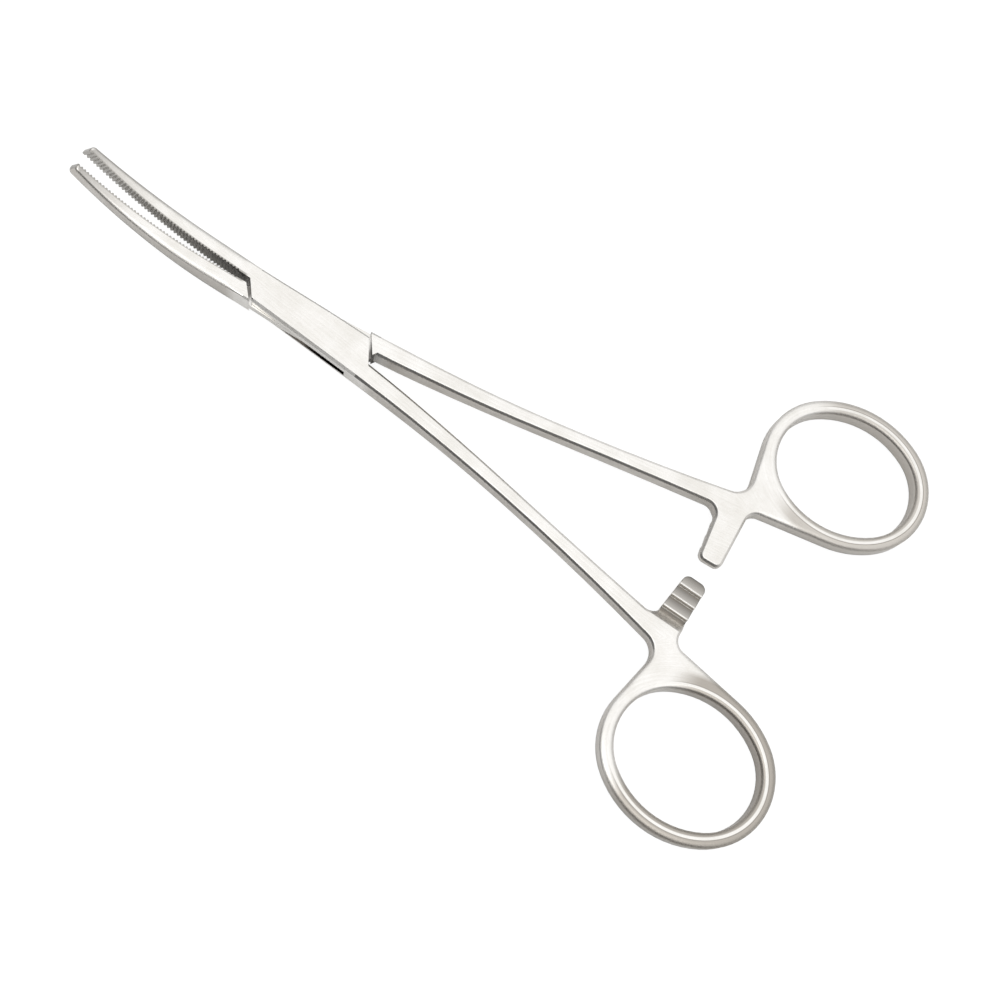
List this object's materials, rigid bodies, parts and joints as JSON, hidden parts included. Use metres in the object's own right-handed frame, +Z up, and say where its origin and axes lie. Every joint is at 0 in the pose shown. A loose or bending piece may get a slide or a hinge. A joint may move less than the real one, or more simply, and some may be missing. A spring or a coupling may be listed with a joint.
{
  "type": "hemostat forceps",
  "caption": "Curved locking forceps with slim serrated jaws, a box-lock hinge, long tapering shanks, interlocking ratchet bars and oval finger rings.",
  "frame": {"origin": "on the hinge axis, in the plane of the box's underside", "axes": "+X from the hinge towards the finger rings, +Y to the side of the tongue arm's handle, +Z up, the way the jaws curve"},
  "size_m": [0.1615, 0.089, 0.0124],
  "materials": {
    "satin_steel": "satin",
    "rivet_steel": "ground flush"
  },
  "bodies": {
    "box_half": {"box_arm": "satin_steel", "hinge_pin": "rivet_steel"},
    "tongue_half": {"tongue_arm": "satin_steel"}
  },
  "joints": [
    {"name": "box_lock_hinge", "type": "hinge", "parent": "box_half", "child": "tongue_half", "pos_m": [0, 0, 0.0023], "axis": [0, 0, 1], "range_deg": [-3.6, 56.4]}
  ]
}
